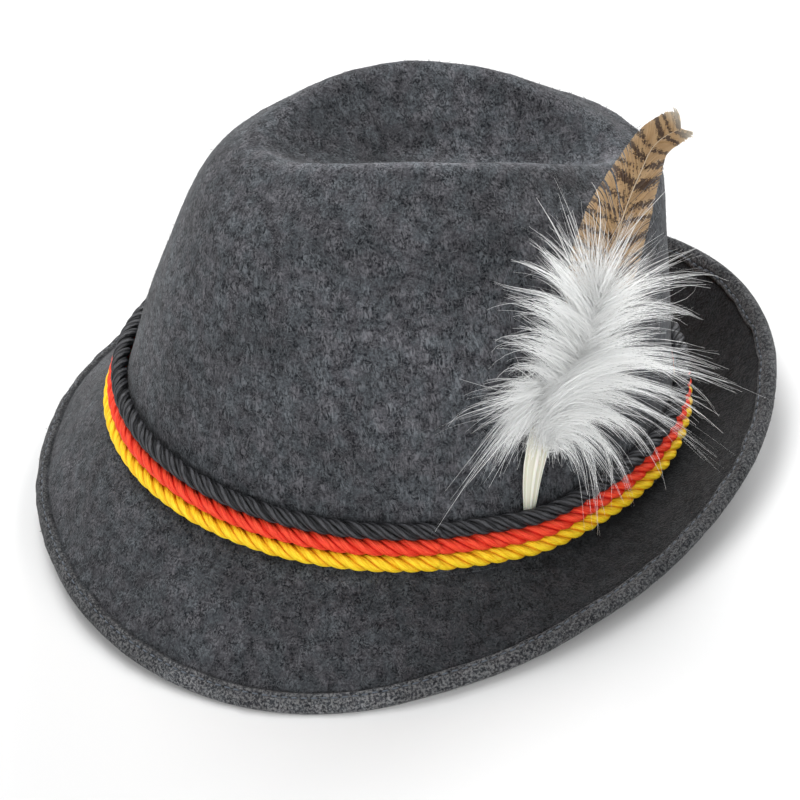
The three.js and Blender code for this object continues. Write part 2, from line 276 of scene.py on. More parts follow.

# The hem's section from its inner edge over the rounded brim edge to the under side: across
# in shares of the hem's width, up in millimetres, and how much painted shade the groove gets there
HEM_COLUMNS = ("across", "up", "dark")
HEM_ROWS = (
    (-0.14, 0, 0.3),
    (-0.05, -0.1, 0.9),
    (0, 0.2, 1),
    (0.03, 0.95, 0.5),
    (0.08, 1.45, 0),
    (0.15, 1.72, 0),
    (0.21, 1.62, 0.1),
    (0.25, 1.2, 0.5),
    (0.29, 1.15, 0.5),
    (0.33, 1.55, 0.1),
    (0.4, 1.82, 0),
    (0.55, 1.9, 0),
    (0.72, 1.85, 0),
    (0.86, 1.6, 0),
    (0.95, 1.15, 0),
    (1, 0.4, 0),
    (1.01, -0.4, 0),
    (0.99, -1.2, 0),
    (0.93, -1.95, 0),
    (0.84, -2.4, 0),
)

# The feather's spine in shares of its length: to the back, up the crown, and out
SPINE_COLUMNS = ("back", "up", "out")
SPINE_ROWS = (
    (-0.013, -0.054, 0),
    (-0.005, 0.007, 0),
    (0.004, 0.106, 0.006),
    (0.022, 0.205, 0.012),
    (0.05, 0.294, 0.014),
    (0.1, 0.387, 0.012),
    (0.155, 0.51, 0.008),
    (0.185, 0.605, 0.004),
    (0.215, 0.69, 0.001),
    (0.25, 0.759, -0.002),
    (0.285, 0.815, -0.004),
    (0.355, 0.862, -0.006),
)

# Rows along the spine: place, and width, lean and thickness as shares
STEM_COLUMNS = ("at", "width", "lean", "thick")
STEM_ROWS = (
    (0.01, 0.34, -0.22, 0.6),
    (0.06, 0.5, -0.24, 0.7),
    (0.12, 0.72, -0.26, 0.9),
    (0.18, 0.92, -0.26, 1),
    (0.26, 1, -0.26, 1),
    (0.34, 0.8, -0.2, 1),
    (0.4, 0.3, 0, 0.8),
)
VANE_COLUMNS = ("at", "width", "lean")
VANE_ROWS = (
    (0.42, 0.3, 0),
    (0.48, 0.75, 0),
    (0.57, 1.1, -0.03),
    (0.67, 1.22, -0.03),
    (0.76, 1.14, -0.02),
    (0.84, 0.9, -0.02),
    (0.9, 0.7, -0.02),
    (0.96, 0.6, -0.04),
    (1, 0.5, -0.06),
)

# Locks of down in the feather's plane, in millimetres to the back and up the crown from the
# stem's foot: where each lock leaves, two places on its way, its tip, and how full it is
LOCK_COLUMNS = (
    "from_back", "from_up", "over_back", "over_up", "by_back", "by_up", "to_back", "to_up", "full",
)
LOCK_ROWS = (
    (1, 41, 10, 55, 33, 57, 73, 34, 1),
    (1, 40, 10, 53, 32, 53, 72, 29, 1),
    (1, 39, 12, 52, 33, 47, 63, 29, 1),
    (2, 38, 12, 49, 34, 42, 64, 17, 1),
    (2, 37, 12, 47, 30, 39, 59, 9, 1),
    (3, 35, 13, 43, 30, 34, 51, 14, 1),
    (4, 34, 13, 41, 28, 30, 44, 5, 1),
    (4, 32, 11, 39, 25, 28, 37, 0, 1),
    (5, 31, 9, 36, 21, 24, 30, -2, 0.9),
    (5, 30, 9, 31, 16, 20, 24, -6, 0.7),
    (5, 29, 7, 28, 12, 19, 17, -8, 0.4),
    (-2, 48, -12, 48, -24, 49, -36, 52, 0.35),
    (-2, 49, -11, 53, -24, 55, -32, 50, 0.4),
    (-2, 46, -12, 45, -21, 38, -35, 23, 0.45),
    (-2, 44, -13, 41, -22, 31, -36, 9, 0.5),
    (-2, 42, -14, 38, -23, 26, -30, 3, 0.45),
    (-2, 42, -12, 39, -18, 28, -29, 7, 0.35),
    (-2, 47, -13, 46, -22, 44, -30, 45, 0.35),
    (-1, 51, -12, 56, -20, 56, -24, 52, 0.5),
    (-1, 50, -14, 51, -29, 50, -35, 42, 0.3),
    (9, 48, -4, 60, -13, 62, -17, 57, 0.5),
    (10, 52, -3, 66, -16, 74, -30, 78, 0.4),
    (12, 55, 0, 69, -12, 76, -19, 71, 0.45),
    (13, 58, 1, 72, -10, 79, -16, 81, 0.45),
    (15, 61, 3, 76, -8, 83, -15, 83, 0.45),
    (16, 63, 4, 79, -7, 86, -14, 86, 0.45),
    (17, 65, 5, 81, -7, 90, -13, 94, 0.45),
    (18, 67, 8, 85, -4, 96, -15, 99, 0.4),
    (18, 68, 8, 87, -3, 100, -9, 105, 0.4),
    (19, 70, 9, 89, 0, 102, -8, 108, 0.35),
    (20, 72, 11, 93, 2, 106, -6, 114, 0.3),
    (21, 75, 14, 94, 8, 109, 4, 118, 0.25),
    (22, 77, 15, 96, 12, 110, 10, 117, 0.2),
    (22, 78, 18, 95, 17, 109, 13, 118, 0.15),
    (23, 80, 21, 94, 22, 108, 19, 116, 0.15),
    (22, 78, 23, 91, 29, 105, 30, 115, 0.2),
    (22, 77, 24, 91, 32, 104, 35, 114, 0.25),
    (22, 76, 26, 88, 34, 99, 41, 107, 0.3),
    (21, 74, 27, 85, 37, 94, 47, 101, 0.35),
    (21, 72, 28, 82, 43, 88, 60, 87, 0.35),
    (20, 70, 28, 79, 46, 82, 66, 76, 0.4),
    (20, 68, 29, 77, 49, 77, 72, 66, 0.4),
    (19, 66, 29, 75, 46, 73, 64, 62, 0.4),
    (18, 64, 30, 72, 50, 66, 67, 45, 0.35),
    (18, 62, 29, 69, 46, 69, 61, 74, 0.4),
    (17, 60, 28, 67, 42, 70, 57, 76, 0.35),
    (15, 56, 26, 63, 39, 64, 52, 59, 0.5),
    (13, 52, 24, 60, 36, 58, 42, 49, 0.5),
    (8, 46, 21, 58, 43, 49, 63, 29, 0.8),
    (7, 45, 21, 57, 48, 51, 71, 34, 0.8),
)


def named_rows(columns, rows):
    return [dict(zip(columns, row)) for row in rows]


def column(columns, rows, name):
    return np.array([row[columns.index(name)] for row in rows], float)


def unit(vectors):
    return vectors / np.maximum(np.linalg.norm(vectors, axis=-1, keepdims=True), 1e-12)


def turns(count):
    """This many angles, evenly spread around a full turn."""
    return np.arange(count) * (2 * math.pi / count)


def circle(angle):
    return np.stack([np.cos(angle), np.sin(angle), 0 * angle], 1)


def signed_power(value, power):
    return np.sign(value) * np.abs(value) ** power


def ramp(value, low, high):
    """How far a value is on its way from low to high, from 0 to 1."""
    return np.clip((value - low) / (high - low), 0, 1)


def bell(value, middle, width):
    """1 at the middle, fading smoothly on both sides of it."""
    return np.exp(-(((value - middle) / width) ** 2))


def crown_level(row):
    return {
        "front": row["front"] * HALF_LENGTH,
        "back": row["back"] * HALF_LENGTH,
        "side": row["side"] * HALF_WIDTH,
        "middle": row["shift"] * HALF_LENGTH,
        "z_front": row["rise_front"] * CROWN_HEIGHT,
        "z_side": row["rise_side"] * CROWN_HEIGHT - row["dip"] * BAND_DIP,
        "z_back": row["rise_back"] * CROWN_HEIGHT,
        "corner": row["corner"],
    }


def brim_level(row):
    middle = row["shift"] * HALF_LENGTH
    return {
        "front": HALF_LENGTH + row["reach"] * BRIM_FRONT + middle,
        "back": HALF_LENGTH + row["reach"] * BRIM_BACK - middle,
        "side": HALF_WIDTH + row["reach"] * BRIM_SIDE,
        "middle": middle,
        "z_front": -row["front"] * FRONT_DROP,
        "z_side": -BAND_DIP - row["side"] * SIDE_DROP,
        "z_back": row["back"] * BACK_RISE,
        "corner": 1,
    }


CROWN = [crown_level(row) for row in named_rows(CROWN_COLUMNS, CROWN_ROWS)]
BRIM = [brim_level(row) for row in named_rows(BRIM_COLUMNS, BRIM_ROWS)]
LEVELS = CROWN + BRIM
LAST = len(LEVELS) - 1
FOLD_SHARE = len(CROWN) / LAST
FOOT_SHARE = (len(CROWN) - 1) / LAST
WALL_SHARE = (len(CROWN) - 2) / LAST


def level_point(level, angle):
    across = signed_power(np.cos(angle), level["corner"])
    along = signed_power(np.sin(angle), level["corner"])
    reach = np.where(along < 0, level["front"], level["back"])
    mean = (level["z_front"] + level["z_back"]) / 2
    slope = (level["z_back"] - level["z_front"]) / 2
    x = level["side"] * across
    y = level["middle"] + reach * along
    z = level["z_side"] + slope * along + (mean - level["z_side"]) * along**2
    return np.stack([x, y, z], -1)


def smooth_line(knots, share):
    """Points on a smooth line through knots, one for each share of the way along it."""
    last = len(knots) - 1
    first = 2 * knots[:1] - knots[1:2]
    beyond = 2 * knots[-1:] - knots[-2:-1]
    knots = np.concatenate([first, knots, beyond])
    spot = np.clip(share, 0, 1) * last
    step = np.minimum(spot.astype(int), last - 1)
    t = (spot - step)[:, None]
    columns = np.arange(len(share)) % knots.shape[1]
    a, b, c, d = (knots[step + k, columns] for k in range(4))
    leave = (c - a) / 2
    arrive = (d - b) / 2
    bend = 3 * (c - b) - 2 * leave - arrive
    return b + t * leave + t**2 * bend + t**3 * (2 * (b - c) + leave + arrive)


def hat_point(angle, share):
    """Points on the felt's top side: angle 0 is the wearer's left, share 0 the dent's middle."""
    return smooth_line(np.stack([level_point(level, angle) for level in LEVELS]), share)


def felt_place(angle, share):
    """Points of the felt with their normals and the ways to the brim's edge."""
    step = 1e-4
    turn = 1e-3
    angle, share = np.broadcast_arrays(np.asarray(angle, float), np.asarray(share, float))
    onward = hat_point(angle, share + step) - hat_point(angle, share - step)
    around = hat_point(angle + turn, share) - hat_point(angle - turn, share)
    normal = unit(np.cross(onward, around))
    normal[share <= 0] = (0, 0, 1)
    return hat_point(angle, share), normal, unit(onward)


def turned(vectors):
    """The hat's own directions as they lie when it rests."""
    x, y, z = np.moveaxis(np.asarray(vectors, float), -1, 0)
    cos = math.cos(REST_PITCH)
    sin = math.sin(REST_PITCH)
    return np.stack([x, y * cos + z * sin, z * cos - y * sin], -1)


def posed(points):
    return turned(points) + REST_SHIFT


def ripples(points, wavelength, seed):
    """A smooth uneven value from about -1 to 1 for each point."""
    waves = 10
    rng = np.random.default_rng(seed)
    ways = unit(rng.normal(size=(waves, 3))) * (2 * math.pi / wavelength)
    ways = ways * rng.uniform(0.6, 1.4, (waves, 1))
    phases = rng.uniform(0, 2 * math.pi, waves)
    return np.sin(points @ ways.T + phases).sum(1) / math.sqrt(waves)


class Look:
    """A procedural material under construction."""

    def __init__(self, name):
        self.material = bpy.data.materials.new(name)
        self.material.use_nodes = True
        self.tree = self.material.node_tree
        self.tree.nodes.clear()
        self.place = self.node("ShaderNodeTexCoord").outputs["Object"]

    def node(self, kind, inputs=None, **settings):
        made = self.tree.nodes.new(kind)
        for name, value in settings.items():
            setattr(made, name, value)
        for name, value in (inputs or {}).items():
            self.feed(made.inputs[name], value)
        return made

    def feed(self, socket, value):
        if isinstance(value, bpy.types.NodeSocket):
            self.tree.links.new(value, socket)
        else:
            socket.default_value = value

    def noise(self, size, detail=2, vector=None, rough=0.5, output="Fac"):
        """Uneven values with features of about this size in millimetres."""
        inputs = {
            "Vector": vector or self.place,
            "Scale": 1 / (size * MM),
            "Detail": detail,
            "Roughness": rough,
        }
        return self.node("ShaderNodeTexNoise", inputs).outputs[output]

    def stretched(self, turn, stretch, vector):
        """The place turned by these degrees and squeezed along the new Z."""
        inputs = {
            "Vector": vector,
            "Rotation": tuple(math.radians(t) for t in turn),
            "Scale": (1, 1, 1 / stretch),
        }
        return self.node("ShaderNodeMapping", inputs).outputs["Vector"]

    def ranged(self, value, low, high, to_low=0, to_high=1):
        inputs = {0: value, 1: low, 2: high, 3: to_low, 4: to_high}
        return self.node("ShaderNodeMapRange", inputs, interpolation_type="SMOOTHSTEP").outputs[0]

    def combined(self, operation, a, b):
        return self.node("ShaderNodeMath", {0: a, 1: b}, operation=operation).outputs[0]

    def vectors(self, operation, a, b):
        return self.node("ShaderNodeVectorMath", {0: a, 1: b}, operation=operation).outputs[0]

    def scaled(self, colour, strength):
        inputs = {0: colour, "Scale": strength}
        return self.node("ShaderNodeVectorMath", inputs, operation="SCALE").outputs[0]

    def mixed(self, factor, a, b, blend="MIX"):
        inputs = {0: factor, 6: a, 7: b}
        made = self.node("ShaderNodeMix", inputs, data_type="RGBA", blend_type=blend)
        return made.outputs[2]

    def attribute(self, name, output="Fac"):
        return self.node("ShaderNodeAttribute", attribute_name=name).outputs[output]

    def bump(self, height, distance, strength):
        inputs = {"Height": height, "Distance": distance * MM, "Strength": strength}
        return self.node("ShaderNodeBump", inputs).outputs["Normal"]

    def finish(self, colour, roughness, normal=None, **constants):
        inputs = {"Base Color": colour, "Roughness": roughness}
        if normal:
            inputs["Normal"] = normal
        shader = self.node("ShaderNodeBsdfPrincipled", inputs)
        for name, value in constants.items():
            shader.inputs[name.replace("_", " ")].default_value = value
        self.out(shader.outputs[0])
        return self.material

    def out(self, surface):
        self.node("ShaderNodeOutputMaterial", {"Surface": surface})


def fibre_lines(look):
    """Curled fibres that run in a few directions."""
    curl = look.noise(CURL_SIZE, 1, output="Color")
    shift = look.vectors("MULTIPLY", curl, (CURL_REACH * MM,) * 3)
    curled = look.vectors("ADD", look.place, shift)
    fibres = 0.0
    for turn in FIBRE_TURNS:
        line = look.noise(FIBRE_SIZE, 1, look.stretched(turn, FIBRE_STRETCH, curled))
        fibres = look.combined("MAXIMUM", fibres, look.ranged(line, 0.54, 0.72))
    return fibres


def felt_colour(look, clump, fibres):
    """Dark and light wool, with light fibres in patches and a slightly warm or cool tint."""
    grain = look.noise(GRAIN_SIZE, 2, rough=0.6)
    dark = look.mixed(look.ranged(clump, 0.4, 0.6), FELT_DARK, FELT_MID)
    grained = look.mixed(look.ranged(grain, 0.4, 0.7, 0, 0.42), dark, FELT_LIGHT)
    patch = look.ranged(look.noise(PATCH_SIZE), 0.4, 0.6, 0.15, 0.75)
    fibred = look.mixed(look.combined("MULTIPLY", fibres, patch), grained, FELT_LIGHT)
    tint = look.mixed(look.ranged(look.noise(TINT_SIZE), 0.38, 0.62), FELT_WARM, FELT_COOL)
    return look.mixed(1.0, fibred, tint, "MULTIPLY")


def felt_look():
    look = Look("felt")
    clump = look.noise(CLUMP_SIZE, 4, rough=0.62)
    fibres = fibre_lines(look)
    salt = look.ranged(look.noise(HEM_GRAIN_SIZE, 3, rough=0.7), 0.42, 0.62)
    peppered = look.mixed(salt, FELT_DARK, HEM_LIGHT)
    on_hem = look.combined("MULTIPLY", look.attribute("hem"), 0.65)
    whole = look.mixed(on_hem, felt_colour(look, clump, fibres), peppered)
    uneven = look.ranged(look.noise(MOTTLE_SIZE), 0.3, 0.7, 0.82, 1.2)
    # Painted shade in the hem's groove, and the felt's painted light and shade, scale the colour
    groove = look.ranged(look.attribute("groove"), 0, 1, 1, 0.5)
    tone = look.combined("MULTIPLY", groove, look.attribute("tone"))
    colour = look.scaled(whole, look.combined("MULTIPLY", uneven, tone))
    lumps = look.combined("MULTIPLY", clump, 0.8)
    height = look.combined("ADD", lumps, look.combined("MULTIPLY", fibres, 0.5))
    return look.finish(
        colour,
        0.95,
        look.bump(height, 0.5, 0.6),
        Sheen_Weight=0.12,
        Sheen_Roughness=0.5,
        Specular_IOR_Level=0.1,
    )


def fuzz_look():
    look = Look("felt_fibres")
    colour = look.mixed(look.attribute("shade"), FELT_DARK, FUZZ_LIGHT)
    return look.finish(colour, 0.8, Specular_IOR_Level=0.2)


def thread_look():
    look = Look("stitch_thread")
    colour = look.mixed(look.noise(0.8), THREAD_DARK, THREAD_LIGHT)
    return look.finish(colour, 0.6, Sheen_Weight=0.2)


def cord_look(cord):
    """Satin yarn: its threads run along each strand, its plies' ridges get painted highlights, and
    the grooves between strands get painted shade.
    """
    look = Look(cord["colour"] + "_yarn")
    inputs = {
        "Vector": look.attribute("yarn", "Vector"),
        "Scale": 6.0,
        "Detail": 2.0,
        "Roughness": 0.6,
    }
    thread = look.node("ShaderNodeTexNoise", inputs).outputs["Fac"]
    ply = look.attribute("ply")
    # Painted highlights along the plies' ridges, strongest on the black cord
    ridge = look.combined("ADD", look.combined("MULTIPLY", ply, cord["lines"]), thread)
    tone = look.mixed(look.ranged(ridge, 0.28, 0.7), cord["deep"], cord["pale"])
    dark = look.mixed(1.0, tone, cord["deep"], "MULTIPLY")
    # Painted shade in the grooves between the strands, in the yarn's deep colour
    in_groove = look.combined("MULTIPLY", look.attribute("groove"), 0.95)
    shaded = look.mixed(in_groove, tone, dark)
    height = look.combined("ADD", look.combined("MULTIPLY", ply, 0.7), thread)
    normal = look.bump(height, 0.26, 0.9)
    return look.finish(shaded, 0.5, normal, Specular_IOR_Level=cord["shine"])


def quill_look():
    look = Look("quill")
    line = look.attribute("line")
    colour = look.mixed(look.ranged(line, 0.2, 0.9), QUILL_DARK, QUILL_LIGHT)
    return look.finish(
        colour,
        0.45,
        look.bump(line, 0.2, 0.7),
        Specular_IOR_Level=0.4,
        Subsurface_Weight=0.15,
        Subsurface_Scale=0.001,
    )


def strand_surface(look, colour, glow):
    """Fine barbs let some light through."""
    front = look.node("ShaderNodeBsdfDiffuse", {"Color": colour})
    through = look.node("ShaderNodeBsdfTranslucent", {"Color": colour})
    body = look.node("ShaderNodeMixShader", {0: glow, 1: front.outputs[0], 2: through.outputs[0]})
    gloss = look.node("ShaderNodeBsdfGlossy", {"Roughness": 0.45})
    both = look.node("ShaderNodeMixShader", {0: 0.04, 1: body.outputs[0], 2: gloss.outputs[0]})
    look.out(both.outputs[0])
    return look.material


def down_look():
    look = Look("white_down")
    return strand_surface(look, look.mixed(look.attribute("shade"), DOWN_DARK, DOWN_LIGHT), 0.4)


def barb_look():
    """Tan barbs with dark chevron bars and speckles."""
    look = Look("barred_feather")
    speckle = look.ranged(look.noise(0.9, 3, rough=0.7), 0.3, 0.7, -0.38, 0.38)
    dark = look.ranged(look.combined("ADD", look.attribute("bars"), speckle), 0.5, 0.8)
    tan = look.mixed(look.noise(3), BARB_BROWN, BARB_TAN)
    barred = look.mixed(look.combined("MULTIPLY", dark, 0.95), tan, BARB_DARK)
    return strand_surface(look, look.mixed(look.attribute("pale"), barred, BARB_PALE), 0.25)


def floor_look():
    look = Look("pale_floor")
    colour = look.mixed(look.noise(400, 1), FLOOR_DARK, FLOOR_LIGHT)
    return look.finish(colour, 0.9, Specular_IOR_Level=0.1)


def mesh_piece(name, points, faces, material, node=None, values=None):
    """A piece from points in the floor frame, in millimetres, with one value a point each."""
    mesh = bpy.data.meshes.new(name)
    mesh.from_pydata((points * MM).tolist(), [], faces)
    mesh.polygons.foreach_set("use_smooth", [True] * len(mesh.polygons))
    for label, numbers in (values or {}).items():
        kind = "FLOAT_VECTOR" if np.ndim(numbers) == 2 else "FLOAT"
        field = "vector" if np.ndim(numbers) == 2 else "value"
        layer = mesh.attributes.new(label, kind, "POINT")
        layer.data.foreach_set(field, np.asarray(numbers, np.float32).ravel())
    mesh.materials.append(material)
    mesh.update()
    piece = bpy.data.objects.new(name, mesh)
    bpy.context.scene.collection.objects.link(piece)
    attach(piece, "root")
    if node:
        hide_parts(node)
    return piece


def grid_faces(rows, columns, start=0, loop=False):
    """Quads between rows of points that close round; loop joins the last row to the first."""
    row = np.arange(rows if loop else rows - 1)
    r, c = np.meshgrid(row, np.arange(columns), indexing="ij")
    following = (r + 1) % rows
    side = (c + 1) % columns
    quads = np.stack(
        [r * columns + c, following * columns + c, following * columns + side, r * columns + side],
        -1,
    )
    return (quads.reshape(-1, 4) + start).tolist()


def hem_start(angle):
    """The share at which the hem's inner edge lies, which wanders a little along the brim."""
    edge = hat_point(angle, np.ones_like(angle))
    inner = hat_point(angle, np.full_like(angle, 1 - 1 / LAST))
    share = HEM_WIDTH / np.linalg.norm(edge - inner, axis=1) / LAST
    around = circle(angle) * HALF_LENGTH
    loose = 0.35 + 0.65 * np.clip(np.sin(angle), 0, 1)
    wander = loose * (0.07 * ripples(around, 16, 3) + 0.03 * ripples(around, 7, 4))
    return 1 - share * (1 + wander)


def felt_wave(points):
    """How far the felt departs from its smooth form, in long and in short waves."""
    return 0.3 * ripples(points, 34, 5) + 0.08 * ripples(points, 8, 6)


def hem_point(angle, across, up):
    """Points over the hem at shares across it, from its inner edge to the brim's edge."""
    start = hem_start(angle)
    share = start + (1 - start) * across
    point, normal, onward = felt_place(angle, np.minimum(share, 1))
    beyond = np.maximum(across - 1, 0) * HEM_WIDTH
    wave = felt_wave(point)
    puff = 1 + 0.12 * ripples(point, 9, 8)
    lift = np.where(np.asarray(up) > 0, up * puff, up) + wave
    return point + normal * lift[:, None] + onward * beyond[:, None], normal


def felt_tone(angle, share):
    """Painted light and shade on the felt: painted light at the back of the dent, a painted
    highlight on the ridge that faces the camera and a painted light patch on the wall below it,
    and painted shade on the brim, most where it turns up."""
    dent = (0.1 + DENT_PAINTED_LIGHT * np.sin(angle)) * ramp(share, 0.24, 0.18)
    near = np.clip(0.4 + 0.6 * np.cos(angle - 0.6), 0, 1)
    ridge = RIDGE_PAINTED_HIGHLIGHT * near * bell(share, 0.25, 0.035)
    wall_light = WALL_PAINTED_LIGHT * np.clip(np.cos(angle), 0, 1) ** 6 * bell(share, 0.5, 0.06)
    turned_up = TURNED_UP_PAINTED_SHADE * ramp(np.sin(angle), -0.3, 0.6)
    brim = ramp(share, FOLD_SHARE - 0.03, FOLD_SHARE + 0.02)
    return 1 + dent + ridge + wall_light - (BRIM_PAINTED_SHADE + turned_up) * brim


def felt_points():
    """The rings of the felt from the dent over the hem to the under side, with their masks and
    their painted light and shade.
    """
    angle = turns(FELT_FACETS)
    start = hem_start(angle)
    first = HEM_ROWS[0][0] / LAST
    brim_tone = felt_tone(angle, 0.9)
    # Painted shade on the hem, lifted to painted light where the hem lies nearest the camera
    hem_tone = HEM_PAINTED_SHADE + HEM_PAINTED_LIGHT * np.clip(np.cos(angle + 0.25), 0, 1) ** 4
    rings = []
    values = {"hem": [], "groove": [], "tone": []}

    def mark(**numbers):
        for name, value in numbers.items():
            values[name].append(np.broadcast_to(value, FELT_FACETS))

    def ring(share, height, tone):
        point, normal, _ = felt_place(angle, share)
        rings.append(point + normal * (felt_wave(point) + height)[:, None])
        mark(hem=0.0, groove=0.0, tone=tone)

    top = np.arange(1, LAST * TOP_STEPS) / (LAST * TOP_STEPS)
    under = np.arange(1, LAST * UNDER_STEPS) / (LAST * UNDER_STEPS)
    for share in top:
        ring(share * (start + first), 0, felt_tone(angle, share))
    for row in named_rows(HEM_COLUMNS, HEM_ROWS):
        point, _ = hem_point(angle, np.full_like(angle, row["across"]), row["up"])
        rings.append(point)
        on_hem = row["across"] > 0
        mark(hem=float(on_hem), groove=row["dark"], tone=hem_tone if on_hem else brim_tone)
    for share in under[::-1]:
        ring(share * start, -FELT_WALL, 1.0)
    values = {name: np.concatenate(value) for name, value in values.items()}
    return np.concatenate(rings), values, len(rings)


def felt_piece(material):
    points, values, count = felt_points()
    top = hat_point(np.zeros(1), np.zeros(1))
    faces = grid_faces(count, FELT_FACETS)
    upper = len(points)
    ends = np.concatenate([top, top - (0, 0, FELT_WALL)])
    around = np.arange(FELT_FACETS)
    after = (around + 1) % FELT_FACETS
    last = (count - 1) * FELT_FACETS
    faces += np.stack([np.full(FELT_FACETS, upper), around, after], -1).tolist()
    faces += np.stack([np.full(FELT_FACETS, upper + 1), last + after, last + around], -1).tolist()
    placed = posed(np.concatenate([points, ends]))
    placed[:, 2] = np.maximum(placed[:, 2], FLOOR_GAP)
    values = {name: np.append(value, value[[0, -1]]) for name, value in values.items()}
    return mesh_piece("felt_form", placed, faces, material, "felt_body", values)


def mesh_values(mesh, name):
    values = np.zeros(len(mesh.vertices))
    mesh.attributes[name].data.foreach_get("value", values)
    return values


def mesh_triangles(mesh):
    """The points of a mesh in millimetres, and the numbers of each triangle's three points."""
    points = np.zeros(len(mesh.vertices) * 3)
    mesh.vertices.foreach_get("co", points)
    mesh.calc_loop_triangles()
    corners = np.zeros(len(mesh.loop_triangles) * 3, int)
    mesh.loop_triangles.foreach_get("vertices", corners)
    return points.reshape(-1, 3) / MM, corners.reshape(-1, 3)


def fuzz_roots(points, corners, rng):
    """Random places on the felt with the way out: its triangles, mostly those that face up."""
    a, b, c = (points[corners[:, k]] for k in range(3))
    normal = np.cross(b - a, c - a)
    area = np.linalg.norm(normal, axis=1)
    raised = (a + b + c)[:, 2] > 3 * FUZZ_LOWEST
    seen = np.where(normal[:, 2] > 0, 1.0, 0.2) * raised
    pick = rng.choice(len(area), FUZZ_COUNT, p=area * seen / (area * seen).sum())
    u, v = rng.random((2, FUZZ_COUNT, 1))
    flip = u + v > 1
    u = np.where(flip, 1 - u, u)
    v = np.where(flip, 1 - v, v)
    return pick, a[pick] + u * (b - a)[pick] + v * (c - a)[pick], unit(normal[pick])


def fuzz_piece(felt, material):
    """Short curled fibres all over the felt, most of them lying flat."""
    rng = np.random.default_rng(SEED + 1)
    points, corners = mesh_triangles(felt.data)
    pick, root, out = fuzz_roots(points, corners, rng)
    nearest = corners[pick, 0]
    way = rng.normal(size=(FUZZ_COUNT, 3))
    way = unit(way - out * (way * out).sum(1, keepdims=True))
    side = np.cross(out, way)
    trimmed = 1 - FUZZ_TRIM * mesh_values(felt.data, "hem")[nearest][:, None]
    length = rng.gamma(FUZZ_SHAPE, FUZZ_SCALE, (FUZZ_COUNT, 1)) * trimmed
    lift = np.radians(rng.gamma(1.6, 5, (FUZZ_COUNT, 1)))
    width = rng.uniform(*FUZZ_WIDTHS, (FUZZ_COUNT, 1))
    swing = rng.normal(0, 0.5, (FUZZ_COUNT, 1))
    middle = root + (way * np.cos(lift) + out * np.sin(lift)) * length / 2
    later = unit(way + side * swing)
    tip = middle + (later * np.cos(lift) + out * np.sin(lift) * 0.6) * length / 2
    quad = np.stack([root, middle - side * width, middle + side * width, tip], 1)
    quad = (quad + FUZZ_RISE * out[:, None]).reshape(-1, 3)
    quad[:, 2] = np.maximum(quad[:, 2], FLOOR_GAP)
    start = np.arange(FUZZ_COUNT)[:, None] * 4
    faces = np.concatenate([start + (0, 1, 2), start + (1, 3, 2)]).tolist()
    # The fibres carry the felt's painted light and painted shade
    tone = mesh_values(felt.data, "tone")[nearest]
    shade = np.repeat(rng.beta(1.2, 2.2, FUZZ_COUNT) * tone, 4)
    return mesh_piece("felt_fuzz", quad, faces, material, None, {"shade": shade})


def tube(middle, side, out, across, depth, sides, swell=1):
    """Rings of points around a line, with half widths sideways and outwards at each place."""
    turn = turns(sides)
    sideways = side[:, None] * np.cos(turn)[None, :, None] * across[:, None, None]
    outwards = out[:, None] * (np.sin(turn) * swell)[None, :, None] * depth[:, None, None]
    return (middle[:, None] + sideways + outwards).reshape(-1, 3)


def stitches_piece(material):
    """One line of stitches in the groove of the hem."""
    angle = np.linspace(0, 2 * math.pi, 4000)
    line, _ = hem_point(angle, np.full_like(angle, STITCH_ACROSS), STITCH_UP)
    run = np.concatenate([[0], np.cumsum(np.linalg.norm(np.diff(line, axis=0), axis=1))])
    count = int(run[-1] / STITCH_PITCH)
    steps = column(STITCH_COLUMNS, STITCH_ROWS, "along") * STITCH_LENGTH
    radius = column(STITCH_COLUMNS, STITCH_ROWS, "thick") * STITCH_RADIUS
    rise = column(STITCH_COLUMNS, STITCH_ROWS, "rise")
    points = []
    faces = []
    for k in range(count):
        at = (k + 0.5) * run[-1] / count + steps
        theta = np.interp(at % run[-1], run, angle)
        middle, normal = hem_point(theta, np.full_like(theta, STITCH_ACROSS), STITCH_UP)
        side = np.cross(unit(np.gradient(middle, axis=0)), normal)
        middle = middle + normal * rise[:, None]
        points.append(tube(middle, side, normal, radius, radius, STITCH_SIDES))
        faces += grid_faces(len(steps), STITCH_SIDES, k * len(steps) * STITCH_SIDES)
    placed = posed(np.concatenate(points))
    placed[:, 2] = np.maximum(placed[:, 2], FLOOR_GAP)
    return mesh_piece("hem_stitches", placed, faces, material)


def stem_swell(angle):
    away = (angle - STEM_ANGLE) * (HALF_LENGTH + HALF_WIDTH) / 2
    return (STEM_THICKNESS + 2 * CLEARANCE) * bell(away, 0, SWELL_REACH)


def halved(measure, low, high):
    """Where a rising measure reaches zero, for each of many places at once."""
    for _ in range(30):
        middle = (low + high) / 2
        under = measure(middle) < 0
        low = np.where(under, middle, low)
        high = np.where(under, high, middle)
    return (low + high) / 2


def cord_lines(angle):
    """The middles of the cords from the brim up, with the wall's normals and its way down."""
    lines = []
    below = None
    lowest = np.full_like(angle, 1 - FOLD_SHARE)
    wrapped = (angle + math.pi) % (2 * math.pi) - math.pi
    for swell in column(CORD_COLUMNS, CORD_ROWS, "swell"):
        offset = (CORD_DIAMETER / 2 + CLEARANCE + swell * stem_swell(wrapped))[:, None]

        def middle_at(height):
            point, normal, onward = felt_place(angle, 1 - height)
            return point + normal * offset, normal, onward

        def gap(height):
            middle = middle_at(height)[0]
            if below is None:
                foot = -BAND_DIP * np.cos(angle) ** 2
                return middle[:, 2] - foot - CORD_DIAMETER / 2 - CLEARANCE
            return np.linalg.norm(middle - below, axis=1) - CORD_DIAMETER - CLEARANCE

        lowest = halved(gap, lowest, np.full_like(angle, 1 - WALL_SHARE))
        lines.append(middle_at(lowest))
        below = lines[-1][0]
    return lines


